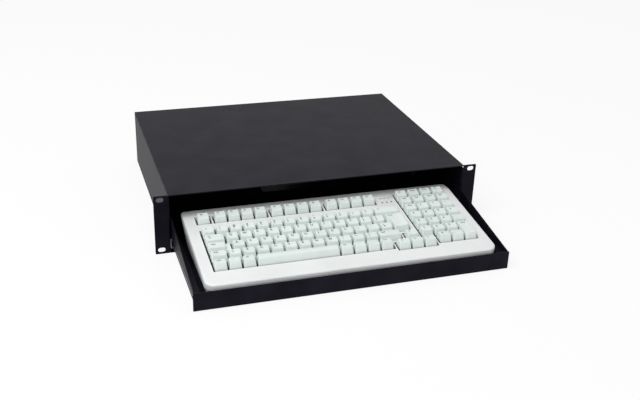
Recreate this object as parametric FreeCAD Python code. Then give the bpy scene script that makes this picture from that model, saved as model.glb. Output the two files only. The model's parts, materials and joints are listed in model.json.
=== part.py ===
import FreeCAD, Part
import math
import os

V = FreeCAD.Vector

# Frame: X to the right, Y from the front of the rack to the rear, Z up.
# The origin is the centre of the four rack slots, on the front face of the ears.

# Rack panel of two units
panel_height = 88.1
ear_reach = 20.3
slot_edge_x = 8.75
slot_edge_z = 5.95
slot_length = 10.5
slot_width = 7.0
ear_corner_radius = 1.0
ear_relief = 0.3

# Chassis box
body_depth = 340.0
chassis_sheet = 1.5
bend_radius = 1.0
side_flange = 11.5
cable_opening_width = 90.0
cable_opening_height = 36.0
cable_opening_radius = 6.0
cable_opening_lift = 12.0

# Ball-bearing slides
rail_length = 290.0
rail_setback = 6.0
rail_height = 14.2
rail_sheet = 1.2
rail_clearance = 0.6
rail_bend_radius = 0.4
rail_tip_gap = 3.5
ball_line_gap = 6.2
ball_diameter = 2.4
ball_clearance = 0.05
cage_sheet = 0.5
cage_web_gap = 0.9
cage_tip_gap = 0.5
cage_length = 80.0
ball_pitch = 32.0
balls_in_row = 3

# Tray
tray_travel_out = 159.0
tray_sheet = 1.2
tray_floor_height = 4.8
tray_floor_edge = 8.0
tray_step_height = 18.6
tray_side_room = 15.5
tray_ledge = 10.0
tray_wall_gap = 1.5
tray_rear_gap = 3.5
tray_front_gap = 0.5
lip_sheet = 1.5
lip_edge_radius = 0.5
lip_side_gap = 2.0
lip_bottom = 0.7
lip_top = 26.4
wall_rear_top = 58.0
wall_slope_length = 200.0
tray_end_height = 34.0
tray_notch_width = 110.0
tray_notch_radius = 8.0
tray_notch_lift = 6.0

# Keyboard case
case_side_margin = 16.7625
case_rear_margin = 22.05
case_tilt = 6.3
case_corner_radius = 15.0
case_edge_radius = 4.5
case_wall = 2.2
case_skirt = 9.5
case_slope_margin = 1.6
case_rear_drop = 3.5
case_ridge_radius = 25.0
case_front_gap = 3.5
case_front_height = 26.2
case_offset = 1.1
foot_height = 2.0
foot_diameter = 12.0
foot_inset = 24.0
lower_shell_inset = 1.2
lower_shell_draft = 3.0
cord_outlet_width = 9.0
cord_outlet_height = 6.0

# Keys
key_pitch = 19.05
key_gap = 1.7
key_travel = 3.8
key_columns = 19.5
key_lines = 7.0
key_front_margin = 28.0
function_row_gap = 16.0
bottom_key_front = 9.2
bottom_key_rear = 7.0
shift_key_front = 7.4
shift_key_rear = 7.0
home_key_front = 6.8
home_key_rear = 7.0
upper_key_front = 6.2
upper_key_rear = 7.8
number_key_front = 6.6
number_key_rear = 8.4
fifth_key_front = 6.6
fifth_key_rear = 8.6
last_key_front = 6.4
last_key_rear = 8.8
key_sink = 1.5
key_wall = 1.4
key_side_slope = 0.16
key_front_slope = 0.42
key_rear_slope = 0.16
key_dish_radius = 38.0
key_opening_side_gap = 1.3
key_opening_end_gap = 0.6
bezel_wall = 1.2
bezel_depth = 5.0
stem_width = 3.9
stem_depth = 3.6
stem_root = 0.2
stepped_key_height = 2.6
space_crown_radius = 14.0
space_crown_share = 0.42
space_foot_height = 3.0
pad_enter_drop = 1.0

# Switches and what carries them
switch_base = 14.4
switch_top = 11.2
switch_top_level = -1.6
stabiliser_base = 6.4
stabiliser_top = 6.0
plate_level = -8.0
plate_sheet = 1.5
plate_cut_gap = 0.3
board_level = -13.0
board_sheet = 1.6
board_margin = 3.0
stem_clearance = 0.4

# Indicator lights
light_diameter = 2.4
light_pitch = 7.0
light_stand = 0.3
light_column = 14.68
light_row_share = 0.22

# Fasteners
screw_diameter = 3.0
screw_head_diameter = 5.6
screw_length = 3.2
rivet_diameter = 2.4
rivet_head_diameter = 3.4
rivet_head_height = 0.6
cover_screw_shares = (0.15, 0.5, 0.85)
rear_screw_shares = (0.25, 0.75)
rivet_shares = (0.1, 0.5, 0.9)
case_screw_diameter = 2.9
case_screw_length = 8.0
case_screw_head_diameter = 5.6
case_screw_head_height = 2.2
case_screw_seat = 3.0
case_boss_diameter = 6.5
case_pillar_diameter = 10.0
board_post_diameter = 6.0
boss_front_inset = 12.0
boss_rear_inset = 10.0
boss_side_inset = 22.0
post_end_inset = 25.0
post_side_inset = 40.0
pilot_spare = 0.5
fit_gap = 0.05

# How far a cutter runs past the faces it cuts
overrun = 1.0

# Widths that follow from the keyboard outwards
case_width = key_columns * key_pitch + 2 * case_side_margin
tray_upper_width = case_width + 2 * tray_side_room
tray_lower_width = tray_upper_width - 2 * tray_ledge
body_width = tray_upper_width + 2 * (tray_wall_gap + chassis_sheet)
lip_width = body_width - 2 * lip_side_gap
panel_width = body_width + 2 * ear_reach
slot_span_x = panel_width - 2 * slot_edge_x
slot_span_z = panel_height - 2 * slot_edge_z

# Places that follow
tray_depth = tray_front_gap + rail_setback + rail_length + tray_rear_gap
case_depth = key_front_margin + key_lines * key_pitch + case_rear_margin
floor_z = -panel_height / 2
top_z = panel_height / 2
body_half = body_width / 2
inner_half = body_half - chassis_sheet
cover_under_z = top_z - chassis_sheet
bottom_over_z = floor_z + chassis_sheet
rail_low_z = bottom_over_z + chassis_sheet + rail_clearance
rail_mid_z = rail_low_z + rail_height / 2
lip_rear_y = -tray_travel_out - tray_front_gap
tray_rear_y = lip_rear_y + tray_depth
tray_floor_z = floor_z + tray_floor_height + tray_sheet
wall_front_z = floor_z + lip_top
rail_front_y = rail_setback
tray_rail_front_y = rail_setback - tray_travel_out
case_front_y = lip_rear_y + case_front_gap
case_front_z = tray_floor_z + case_front_height
main_left = -key_columns * key_pitch / 2


def box(x0, x1, y0, y1, z0, z1):
    return Part.makeBox(x1 - x0, y1 - y0, z1 - z0, V(x0, y0, z0))


def prism(points, along):
    wire = Part.makePolygon(points + [points[0]])
    return Part.Face(wire).extrude(along)


def mirrored(shape):
    return shape.mirror(V(0, 0, 0), V(1, 0, 0))


def moved(shape, x, y, z):
    copy = shape.copy()
    copy.translate(V(x, y, z))
    return copy


def group(shapes):
    return Part.makeCompound(shapes)


# A corner of a path rounded by a tangent arc: the arc's start, middle and end
def corner_arc(before, corner, after, radius):
    to_before = (before - corner).normalize()
    to_after = (after - corner).normalize()
    half_angle = to_before.getAngle(to_after) / 2
    reach = radius / math.tan(half_angle)
    centre = corner + (to_before + to_after).normalize() * (radius / math.sin(half_angle))
    middle = centre + (corner - centre).normalize() * radius
    return corner + to_before * reach, middle, corner + to_after * reach


# Edges of an open path whose inner corners have the given radii
def rounded_path(points, radii):
    edges = []
    start = points[0]
    for i in range(1, len(points) - 1):
        first, middle, last = corner_arc(points[i - 1], points[i], points[i + 1], radii[i - 1])
        edges.append(Part.LineSegment(start, first).toShape())
        edges.append(Part.Arc(first, middle, last).toShape())
        start = last
    edges.append(Part.LineSegment(start, points[-1]).toShape())
    return edges


# A bent sheet. The points are one face of the sheet seen along the bends, the sheet lies to the
# left of them when seen against "along", and each bend has the same inner radius.
def folded_sheet(points, sheet, along, radius=bend_radius):
    axis = V(along).normalize()
    steps = [(points[i + 1] - points[i]).normalize() for i in range(len(points) - 1)]
    sides = [axis.cross(step) for step in steps]
    other = [points[0] + sides[0] * sheet]
    near_radii = []
    far_radii = []
    for i in range(1, len(points) - 1):
        mitre = (sides[i - 1] + sides[i]).normalize()
        other.append(points[i] + mitre * (sheet / mitre.dot(sides[i])))
        turns_left = steps[i - 1].cross(steps[i]).dot(axis) > 0
        near_radii.append(radius + (sheet if turns_left else 0))
        far_radii.append(radius + (0 if turns_left else sheet))
    other.append(points[-1] + sides[-1] * sheet)
    edges = rounded_path(points, near_radii)
    edges.append(Part.LineSegment(points[-1], other[-1]).toShape())
    edges += rounded_path(other[::-1], far_radii[::-1])
    edges.append(Part.LineSegment(other[0], points[0]).toShape())
    wire = Part.Wire(Part.__sortEdges__(edges))
    return Part.Face(wire).extrude(along)


# Outline of a rectangle with round corners, level, centred on x = 0
def round_rectangle(width, front_y, rear_y, z, radius):
    half = width / 2
    corners = [V(half, front_y, z), V(half, rear_y, z), V(-half, rear_y, z), V(-half, front_y, z)]
    middle_front = V(0, front_y, z)
    edges = rounded_path([middle_front] + corners + [middle_front], [radius] * len(corners))
    return Part.Wire(edges)


def obround(length, width, depth, centre):
    half_run = (length - width) / 2
    radius = width / 2
    bar = box(-half_run, half_run, 0, depth, -radius, radius)
    ends = [Part.makeCylinder(radius, depth, V(side * half_run, 0, 0), V(0, 1, 0)) for side in (-1, 1)]
    return moved(bar.fuse(ends).removeSplitter(), centre.x, centre.y, centre.z)


# Fastener places shared by the sheets and the screws that join them
flange_line_x = body_half - side_flange / 2 - chassis_sheet / 2
cover_screw_ys = [body_depth * share for share in cover_screw_shares]
rear_screw_zs = [floor_z + panel_height * share for share in rear_screw_shares]
rail_rivet_ys = [rail_length * share for share in rivet_shares]


def side_places(ys):
    return [(side * flange_line_x, y) for side in (-1, 1) for y in ys]


# A profile turned about the upright axis through the origin
def spun(profile):
    face = Part.Face(Part.makePolygon(profile + [profile[0]]))
    return face.revolve(V(0, 0, 0), V(0, 0, 1), 360)


# A countersunk screw whose flat head top is at the origin, pointing down
def countersunk_screw():
    head = screw_head_diameter / 2
    shank = screw_diameter / 2
    sink = head - shank
    deep = -screw_length
    return spun([V(0, 0, 0), V(head, 0, 0), V(shank, 0, -sink), V(shank, 0, deep), V(0, 0, deep)])


# The hole that the countersunk screw fills, with its clearance
def countersink():
    head = screw_head_diameter / 2 + fit_gap
    shank = screw_diameter / 2 + fit_gap
    sink = head - shank
    deep = -screw_length - overrun
    return spun([V(0, 0, overrun), V(head, 0, overrun), V(head, 0, 0), V(shank, 0, -sink), V(shank, 0, deep),
                 V(0, 0, deep)])


def turned(shape, axis, angle):
    copy = shape.copy()
    copy.rotate(V(0, 0, 0), axis, angle)
    return copy


def on_cover(shape):
    return [moved(shape, x, y, top_z) for x, y in side_places(cover_screw_ys)]


def under_bottom(shape):
    flipped = turned(shape, V(1, 0, 0), 180)
    return [moved(flipped, x, y, floor_z) for x, y in side_places(cover_screw_ys)]


def behind_rear(shape):
    facing = turned(shape, V(1, 0, 0), -90)
    return [moved(facing, side * flange_line_x, body_depth, z) for side in (-1, 1) for z in rear_screw_zs]


def cut_all(shape, tools):
    return shape.cut(Part.makeCompound(tools))


# Right side panel: one sheet with the ear bent out at the front, and flanges bent in at the
# bottom, the top and the rear that the other sheets are screwed to.
def side_panel_right():
    relief = bend_radius + chassis_sheet
    flange_x = body_half - side_flange
    rear_y = body_depth - chassis_sheet
    ear_x = panel_width / 2
    plan = [V(ear_x, 0, bottom_over_z + relief), V(inner_half, 0, bottom_over_z + relief),
            V(inner_half, rear_y - chassis_sheet, bottom_over_z + relief),
            V(flange_x, rear_y - chassis_sheet, bottom_over_z + relief)]
    height = cover_under_z - bottom_over_z - 2 * relief
    wall = folded_sheet(plan, chassis_sheet, V(0, 0, -height)).translated(V(0, 0, height))
    section = [V(flange_x, 0, bottom_over_z), V(body_half, 0, bottom_over_z),
               V(body_half, 0, cover_under_z), V(flange_x, 0, cover_under_z)]
    flange_front = 2 * relief
    flange_rear = rear_y - 2 * relief
    channel = folded_sheet(section, chassis_sheet, V(0, -(flange_rear - flange_front), 0))
    channel.translate(V(0, flange_rear, 0))
    ear = box(body_half + ear_relief, ear_x, 0, chassis_sheet, floor_z, top_z)
    outer_edges = [e for e in ear.Edges if e.BoundBox.XMin > ear_x - fit_gap]
    ear = ear.makeFillet(ear_corner_radius, [e for e in outer_edges if e.BoundBox.YLength > fit_gap])
    panel = wall.fuse([channel, ear]).removeSplitter()
    slot = obround(slot_length, slot_width, 3 * chassis_sheet, V(slot_span_x / 2, -chassis_sheet, 0))
    slots = [moved(slot, 0, 0, side * slot_span_z / 2) for side in (-1, 1)]
    hole = countersink()
    holes = on_cover(hole) + under_bottom(hole) + behind_rear(hole)
    return cut_all(panel, slots + holes + rivet_holes(inner_half, rail_front_y))


def bottom_panel():
    sheet = box(-body_half, body_half, 0, body_depth, floor_z, bottom_over_z)
    return cut_all(sheet, under_bottom(countersink()))


def top_cover():
    sheet = box(-body_half, body_half, 0, body_depth, cover_under_z, top_z)
    return cut_all(sheet, on_cover(countersink()))


def rear_panel():
    sheet = box(-body_half, body_half, body_depth - chassis_sheet, body_depth, bottom_over_z, cover_under_z)
    low_z = bottom_over_z + cable_opening_lift
    high_z = low_z + cable_opening_height
    outline = round_rectangle(cable_opening_width, low_z, high_z, 0, cable_opening_radius)
    cutter = Part.Face(outline).extrude(V(0, 0, 3 * chassis_sheet))
    cutter.rotate(V(0, 0, 0), V(1, 0, 0), 90)
    cutter.translate(V(0, body_depth + chassis_sheet, 0))
    return cut_all(sheet, [cutter] + behind_rear(countersink()))


# Slides. The outer rail is a channel on the side panel, open towards the tray; the inner rail is
# a smaller channel on the tray, open towards the side panel; the balls run between their flanges.
inner_rail_web_x = tray_lower_width / 2
ball_x = inner_rail_web_x + ball_line_gap
ball_offset_z = rail_height / 2 - rail_sheet - ball_clearance - ball_diameter / 2
inner_rail_height = 2 * (ball_offset_z - ball_diameter / 2 - ball_clearance)
cage_web_x = inner_half - rail_sheet - cage_web_gap


def outer_rail_right():
    tip_x = inner_rail_web_x + rail_tip_gap
    low = rail_mid_z - rail_height / 2
    high = rail_mid_z + rail_height / 2
    section = [V(tip_x, 0, low), V(inner_half, 0, low), V(inner_half, 0, high), V(tip_x, 0, high)]
    rail = folded_sheet(section, rail_sheet, V(0, -rail_length, 0), rail_bend_radius)
    rail.translate(V(0, rail_front_y + rail_length, 0))
    return cut_all(rail, rivet_holes(inner_half, rail_front_y))


def inner_rail_right():
    tip_x = cage_web_x - cage_sheet - cage_tip_gap
    low = rail_mid_z - inner_rail_height / 2
    high = rail_mid_z + inner_rail_height / 2
    section = [V(tip_x, 0, high), V(inner_rail_web_x, 0, high), V(inner_rail_web_x, 0, low), V(tip_x, 0, low)]
    rail = folded_sheet(section, rail_sheet, V(0, -rail_length, 0), rail_bend_radius)
    rail.translate(V(0, tray_rail_front_y + rail_length, 0))
    return cut_all(rail, rivet_holes(inner_rail_web_x, tray_rail_front_y))


# Middle of the overlap of the two rails, where the cage runs
cage_mid_y = (rail_front_y + tray_rail_front_y + rail_length) / 2


def ball_places():
    middle = (balls_in_row - 1) / 2
    ys = [cage_mid_y + (i - middle) * ball_pitch for i in range(balls_in_row)]
    return [V(ball_x, y, rail_mid_z + side * ball_offset_z) for side in (-1, 1) for y in ys]


def ball_cage_right():
    tip_x = ball_x - ball_diameter
    low = rail_mid_z - ball_offset_z - cage_sheet / 2
    high = rail_mid_z + ball_offset_z + cage_sheet / 2
    section = [V(tip_x, 0, low), V(cage_web_x, 0, low), V(cage_web_x, 0, high), V(tip_x, 0, high)]
    cage = folded_sheet(section, cage_sheet, V(0, -cage_length, 0), cage_sheet / 2)
    cage.translate(V(0, cage_mid_y + cage_length / 2, 0))
    pocket = ball_diameter / 2 + ball_clearance
    holes = [Part.makeCylinder(pocket, 4 * cage_sheet, p - V(0, 0, 2 * cage_sheet)) for p in ball_places()]
    return cut_all(cage, holes)


def slide_balls_right():
    return group([Part.makeSphere(ball_diameter / 2, p) for p in ball_places()])


# Rivets through a rail web and the sheet behind it: a low head in the channel and a flush tail
def rivet(head_x, tail_x, y, z):
    away = V(1, 0, 0) if head_x < tail_x else V(-1, 0, 0)
    start = V(head_x, y, z)
    head_start = start - away * rivet_head_height
    head = Part.makeCylinder(rivet_head_diameter / 2, rivet_head_height, head_start, away)
    shank = Part.makeCylinder(rivet_diameter / 2, abs(tail_x - head_x), start, away)
    return head.fuse(shank)


# Holes for the rivets of a rail, through the sheets that meet at joint_x
def rivet_holes(joint_x, rail_start_y):
    radius = rivet_diameter / 2 + fit_gap
    reach = 2 * chassis_sheet
    return [Part.makeCylinder(radius, 2 * reach, V(joint_x - reach, rail_start_y + y, rail_mid_z), V(1, 0, 0))
            for y in rail_rivet_ys]


# The rivets of both rails of a kind
def rail_rivets(head_x, tail_x, rail_start_y):
    right = [rivet(head_x, tail_x, rail_start_y + y, rail_mid_z) for y in rail_rivet_ys]
    return group(right + [mirrored(one) for one in right])


def outer_rail_rivets():
    return rail_rivets(inner_half - rail_sheet, body_half, rail_front_y)


def inner_rail_rivets():
    return rail_rivets(inner_rail_web_x + rail_sheet, inner_rail_web_x - tray_sheet, tray_rail_front_y)


# Tray: a floor bent up at the front and the rear, and stepped sides whose walls rise to the rear
def tray_pan():
    floor_under_z = floor_z + tray_floor_height
    step_z = floor_z + tray_step_height
    wall_top_z = floor_z + wall_rear_top
    lower_x = tray_lower_width / 2
    upper_x = tray_upper_width / 2
    floor_edge_x = lower_x - tray_floor_edge
    section = [V(floor_edge_x, 0, floor_under_z), V(lower_x, 0, floor_under_z), V(lower_x, 0, step_z),
               V(upper_x, 0, step_z), V(upper_x, 0, wall_top_z)]
    side = folded_sheet(section, tray_sheet, V(0, -tray_depth, 0))
    side.translate(V(0, tray_rear_y, 0))
    front_z = step_z - tray_sheet
    end_z = floor_z + tray_end_height
    run = [V(-floor_edge_x, lip_rear_y, front_z), V(-floor_edge_x, lip_rear_y, floor_under_z),
           V(-floor_edge_x, tray_rear_y, floor_under_z), V(-floor_edge_x, tray_rear_y, end_z)]
    floor = folded_sheet(run, tray_sheet, V(2 * floor_edge_x, 0, 0))
    cut_x = -upper_x - overrun
    above_z = wall_top_z + overrun
    slope = prism([V(cut_x, lip_rear_y - overrun, wall_front_z), V(cut_x, lip_rear_y, wall_front_z),
                   V(cut_x, lip_rear_y + wall_slope_length, wall_top_z),
                   V(cut_x, lip_rear_y + wall_slope_length, above_z),
                   V(cut_x, lip_rear_y - overrun, above_z)], V(-2 * cut_x, 0, 0))
    pan = floor.fuse([side, mirrored(side)]).removeSplitter().cut(slope)
    notch_low = tray_floor_z + tray_notch_lift
    notch_high = end_z + tray_notch_radius + overrun
    outline = round_rectangle(tray_notch_width, notch_low, notch_high, 0, tray_notch_radius)
    notch = Part.Face(outline).extrude(V(0, 0, 4 * tray_sheet))
    notch.rotate(V(0, 0, 0), V(1, 0, 0), 90)
    notch.translate(V(0, tray_rear_y + tray_sheet, 0))
    holes = rivet_holes(inner_rail_web_x, tray_rail_front_y)
    return cut_all(pan, [notch] + holes + [mirrored(hole) for hole in holes])


def tray_front():
    half = lip_width / 2
    front_y = lip_rear_y - lip_sheet
    plate = box(-half, half, front_y, lip_rear_y, floor_z + lip_bottom, wall_front_z)
    front_edges = [e for e in plate.Edges if e.BoundBox.YMax < front_y + fit_gap]
    return plate.makeFillet(lip_edge_radius, front_edges)


# Keyboard pieces are drawn level, with x across, y from the front edge of the top face to its
# rear and z above that face, and are then tilted into the tray, where the keyboard lies a little
# to the right of the middle.
def seat(shape):
    placed = shape.copy()
    placed.rotate(V(0, 0, 0), V(1, 0, 0), case_tilt)
    placed.translate(V(case_offset, case_front_y, case_front_z))
    return placed


def key_x(columns):
    return main_left + columns * key_pitch


def key_y(rows):
    return key_front_margin + rows * key_pitch


function_row = 5 + function_row_gap / key_pitch
arrow_drop = 0.25
pad_left = 15.5

# Tops of the keys, front and rear edge above the case, by row from the front
row_tops = [(bottom_key_front, bottom_key_rear), (shift_key_front, shift_key_rear),
            (home_key_front, home_key_rear), (upper_key_front, upper_key_rear),
            (number_key_front, number_key_rear), (fifth_key_front, fifth_key_rear),
            (last_key_front, last_key_rear)]

# The keys of each node: row, left edge and widths, in key pitches
key_rows = [
    ("escape_key", function_row, 0, [1]),
    ("function_keys_1_to_4", function_row, 1.25, [1] * 4),
    ("function_keys_5_to_8", function_row, 5.5, [1] * 4),
    ("function_keys_9_to_12", function_row, 9.75, [1] * 4),
    ("number_row_keys", 4, 0, [1] * 13),
    ("backspace_key", 4, 13, [2]),
    ("tab_key", 3, 0, [1.5]),
    ("upper_letter_keys", 3, 1.5, [1] * 12),
    ("home_letter_keys", 2, 1.75, [1] * 12),
    ("left_shift_key", 1, 0, [1.25]),
    ("lower_letter_keys", 1, 1.25, [1] * 11),
    ("right_shift_key", 1, 12.25, [1.75]),
    ("left_modifier_keys", 0, 0, [1] * 3),
    ("right_modifier_keys", 0, 9, [1] * 4),
    ("up_arrow_key", 1 - arrow_drop, 14.25, [1]),
    ("left_arrow_key", -arrow_drop, 13.25, [1]),
    ("down_arrow_key", -arrow_drop, 14.25, [1]),
    ("right_arrow_key", -arrow_drop, 15.25, [1]),
    ("navigation_keys_rear", 6, pad_left, [1] * 4),
    ("navigation_keys_front", 5, pad_left, [1] * 4),
    ("number_pad_top_keys", 4, pad_left, [1] * 4),
    ("number_pad_789_keys", 3, pad_left, [1] * 4),
    ("number_pad_456_keys", 2, pad_left, [1] * 4),
    ("number_pad_123_keys", 1, pad_left, [1] * 3),
    ("number_pad_zero_keys", 0, pad_left + 1, [1] * 2),
]

# Keys of a shape of their own: left edge, row, width and rows deep, in key pitches
caps_lock_place = (0, 2, 1.75, 1)
caps_lock_step = 1.25
space_bar_place = (3, 0, 6, 1)
pad_enter_place = (pad_left + 3, 0, 1, 2)
enter_outline = [(13.75, 2), (15, 2), (15, 4), (13.5, 4), (13.5, 3), (13.75, 3)]
enter_place = (13.75, 2, 1.25, 2)
own_places = [caps_lock_place, space_bar_place, pad_enter_place, enter_place]

# Stabiliser posts each side of a long key's switch: the switch's place, then how far across and deep
stabiliser_offset = 12.0
space_stabiliser_offset = 38.0
stabiliser_places = [
    (14, 4.5, stabiliser_offset, 0),
    (6, 0.5, space_stabiliser_offset, 0),
    (pad_left + 3.5, 1, 0, stabiliser_offset),
    (14.375, 3, 0, stabiliser_offset),
]

# Openings of the upper shell for the blocks of keys, in key pitches
key_blocks = [
    [(0, function_row), (1, function_row), (1, function_row + 1), (0, function_row + 1)],
    [(1.25, function_row), (5.25, function_row), (5.25, function_row + 1), (1.25, function_row + 1)],
    [(5.5, function_row), (9.5, function_row), (9.5, function_row + 1), (5.5, function_row + 1)],
    [(9.75, function_row), (13.75, function_row), (13.75, function_row + 1), (9.75, function_row + 1)],
    [(0, 0), (13, 0), (13, 1), (14, 1), (14, 2), (15, 2), (15, 5), (0, 5)],
    [(13.25, -arrow_drop), (16.25, -arrow_drop), (16.25, 1 - arrow_drop), (15.25, 1 - arrow_drop),
     (15.25, 2 - arrow_drop), (14.25, 2 - arrow_drop), (14.25, 1 - arrow_drop), (13.25, 1 - arrow_drop)],
    [(pad_left, 1), (pad_left + 1, 1), (pad_left + 1, 0), (pad_left + 4, 0), (pad_left + 4, key_lines),
     (pad_left, key_lines)],
]


# An outline of square corners, run anticlockwise, with each side drawn in by its own amount
def inset(points, side, front, rear):
    moved_points = []
    count = len(points)
    for i in range(count):
        before = points[i - 1]
        here = points[i]
        after = points[(i + 1) % count]
        x, y = here
        for start, end in ((before, here), (here, after)):
            run_x = end[0] - start[0]
            run_y = end[1] - start[1]
            if abs(run_x) > abs(run_y):
                y = here[1] + (front if run_x > 0 else -rear)
            else:
                x = here[0] + (-side if run_y > 0 else side)
        moved_points.append((x, y))
    return moved_points


def outline_in_mm(points):
    return [(key_x(column), key_y(row)) for column, row in points]


def level_wire(points, z):
    corners = [V(x, y, z) for x, y in points]
    return Part.makePolygon(corners + [corners[0]])


# A block whose sides lean in at the key's slopes, from the level low up to the level high
def tapered_block(points, low, high):
    rise = high - low
    top = inset(points, key_side_slope * rise, key_front_slope * rise, key_rear_slope * rise)
    return Part.makeLoft([level_wire(points, low), level_wire(top, high)], True, True)


def row_top(row):
    return row_tops[min(int(round(row + arrow_drop / 2)), len(row_tops) - 1)]


# The cylinder that hollows a key top, lying front to rear over the key
def dish(x, front_y, rear_y, front_top, rear_top):
    run = rear_y - front_y
    rise = rear_top - front_top
    along = V(0, run, rise).normalize()
    up = V(0, -along.z, along.y)
    start = V(x, front_y, front_top) + up * key_dish_radius - along * run
    return Part.makeCylinder(key_dish_radius, 3 * run, start, along)


def stem(x, y, ceiling):
    half = stem_width / 2
    return box(x - half, x + half, y - half, y + half, -stem_depth, ceiling)


# A prism that takes off all above the sloping top of a key
def straight_cutter(low_x, high_x, front_y, rear_y, front_top, rear_top):
    top = V(0, rear_y - front_y, rear_top - front_top).normalize()
    lift = V(0, -top.z, top.y) * (rear_y - front_y)
    near = V(low_x - overrun, front_y, front_top) - top * (rear_y - front_y)
    far = near + top * (3 * (rear_y - front_y))
    return prism([near, far, far + lift, near + lift], V(high_x - low_x + 2 * overrun, 0, 0))


# A keycap: a hollow tapered block with a dished or straight top and a stem over each switch
def keycap(outline, tops, stems, dished=True):
    base = inset(outline_in_mm(outline), key_gap / 2, key_gap / 2, key_gap / 2)
    xs = [x for x, y in base]
    ys = [y for x, y in base]
    front_top, rear_top = tops
    cap = tapered_block(base, -key_sink, max(tops) + overrun)
    ceiling = min(tops) - key_wall
    inner = inset(base, key_wall, key_wall, key_wall)
    hollow = tapered_block(inner, -key_sink, ceiling)
    if dished:
        cutter = dish((min(xs) + max(xs)) / 2, min(ys), max(ys), front_top, rear_top)
    else:
        cutter = straight_cutter(min(xs), max(xs), min(ys), max(ys), front_top, rear_top)
    cap = cap.cut(cutter).cut(hollow)
    return cap.fuse([stem(x, y, ceiling + stem_root) for x, y in stems]).removeSplitter()


def rectangle(column, row, width, height=1):
    return [(column, row), (column + width, row), (column + width, row + height), (column, row + height)]


def post_pair(place):
    column, row, across, deep = place
    return [(key_x(column) + side * across, key_y(row) + side * deep) for side in (-1, 1)]


# Where a key has its stems: over its switch, and over the stabilisers if it has them
def stem_points(column, row, width, height=1):
    middle = (column + width / 2, row + height / 2)
    points = [(key_x(middle[0]), key_y(middle[1]))]
    for place in stabiliser_places:
        if middle == place[:2]:
            points += post_pair(place)
    return points


# Keys of this width and more, in key pitches, have straight tops
straight_top_width = 1.5


# A key of one row
def plain_key(column, row, width):
    stems = stem_points(column, row, width)
    return keycap(rectangle(column, row, width), row_top(row), stems, dished=width < straight_top_width)


# Caps lock: its right end is a low step
def caps_lock():
    column, row, width, height = caps_lock_place
    edge_x = key_x(caps_lock_step)
    step = box(edge_x, edge_x + key_pitch, key_y(row), key_y(row + height), stepped_key_height,
               max(row_top(row)) + overrun)
    return plain_key(column, row, width).cut(step)


# Space bar: its top is a long rounded ridge
def space_bar():
    column, row, width, height = space_bar_place
    high = max(row_top(row))
    bar = keycap(rectangle(column, row, width), (high, high), stem_points(column, row, width), dished=False)
    low_x = key_x(column) - overrun
    long = width * key_pitch + 2 * overrun
    axis = V(low_x, key_y(row + space_crown_share), high - space_crown_radius)
    crown = Part.makeCylinder(space_crown_radius, long, axis, V(1, 0, 0))
    foot = box(low_x, low_x + long, key_y(row), key_y(row + height), -stem_depth - overrun, space_foot_height)
    return bar.common(crown.fuse(foot))


def enter_key():
    column, row, width, height = enter_place
    tops = (row_top(row)[0], row_top(row + 1)[1])
    return keycap(enter_outline, tops, stem_points(column, row, width, height))


def pad_enter_key():
    column, row, width, height = pad_enter_place
    tops = (row_top(row)[0] - pad_enter_drop, row_top(row + 1)[1])
    return keycap(rectangle(column, row, width, height), tops, stem_points(column, row, width, height))


# The keys of one node: like keys of a row are one cap, repeated at the pitch
def key_row(row, left, widths):
    first = plain_key(left, row, widths[0])
    return [moved(first, i * key_pitch, 0, 0) for i in range(len(widths))]


# One switch under the middle of each key
def switch_points():
    places = list(own_places)
    for name, row, left, widths in key_rows:
        places += [(left + i, row, width, 1) for i, width in enumerate(widths)]
    return [stem_points(column, row, width, height)[0] for column, row, width, height in places]


def stabiliser_points():
    return [point for place in stabiliser_places for point in post_pair(place)]


# A switch housing: a tapered block on the board, with a square well for the key's stem
def switch_housing(base, top, base_level, well_bottom):
    low = [(-base / 2, -base / 2), (base / 2, -base / 2), (base / 2, base / 2), (-base / 2, base / 2)]
    high = [(x * top / base, y * top / base) for x, y in low]
    body = Part.makeLoft([level_wire(low, base_level), level_wire(high, switch_top_level)], True, True)
    half = stem_width / 2 + stem_clearance
    return body.cut(box(-half, half, -half, half, well_bottom, switch_top_level + overrun))


def key_switches():
    well_bottom = -stem_depth - key_travel - stem_clearance
    housing = switch_housing(switch_base, switch_top, board_level, well_bottom)
    return group([moved(housing, x, y, 0) for x, y in switch_points()])


def stabilisers():
    block = switch_housing(stabiliser_base, stabiliser_top, plate_level, plate_level - overrun)
    return group([moved(block, x, y, 0) for x, y in stabiliser_points()])


# Plate and board share one outline inside the case
def board_outline():
    half = key_columns * key_pitch / 2 + board_margin
    front = key_y(-arrow_drop) - board_margin
    rear = key_y(key_lines) + board_margin
    return half, front, rear


def switch_plate():
    half, front, rear = board_outline()
    plate = box(-half, half, front, rear, plate_level - plate_sheet, plate_level)
    share = (plate_level - plate_sheet - board_level) / (switch_top_level - board_level)
    cut_half = (switch_base + (switch_top - switch_base) * share) / 2 + plate_cut_gap
    low = plate_level - plate_sheet - overrun
    high = plate_level + overrun
    cutter = box(-cut_half, cut_half, -cut_half, cut_half, low, high)
    switches = [moved(cutter, x, y, 0) for x, y in switch_points()]
    return cut_all(plate, switches + pins(light_points(), light_diameter + 2 * plate_cut_gap, low, high))


def circuit_board():
    half, front, rear = board_outline()
    return box(-half, half, front, rear, board_level - board_sheet, board_level)


# Upright round pins on the given points
def pins(points, diameter, low, high):
    return [Part.makeCylinder(diameter / 2, high - low, V(x, y, low)) for x, y in points]


# Indicator lights: three light pipes in the field right of the last function key
def light_points():
    x = key_x(light_column)
    y = key_y(function_row + light_row_share)
    return [(x + i * light_pitch, y) for i in (-1, 0, 1)]


def indicator_lights():
    return group(pins(light_points(), light_diameter, board_level, light_stand))


# Case screws stand in bosses of the upper shell, along the front and the rear
def boss_points():
    side_x = case_width / 2 - boss_side_inset
    return [(x, y) for y in (boss_front_inset, case_depth - boss_rear_inset) for x in (-side_x, 0, side_x)]


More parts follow.
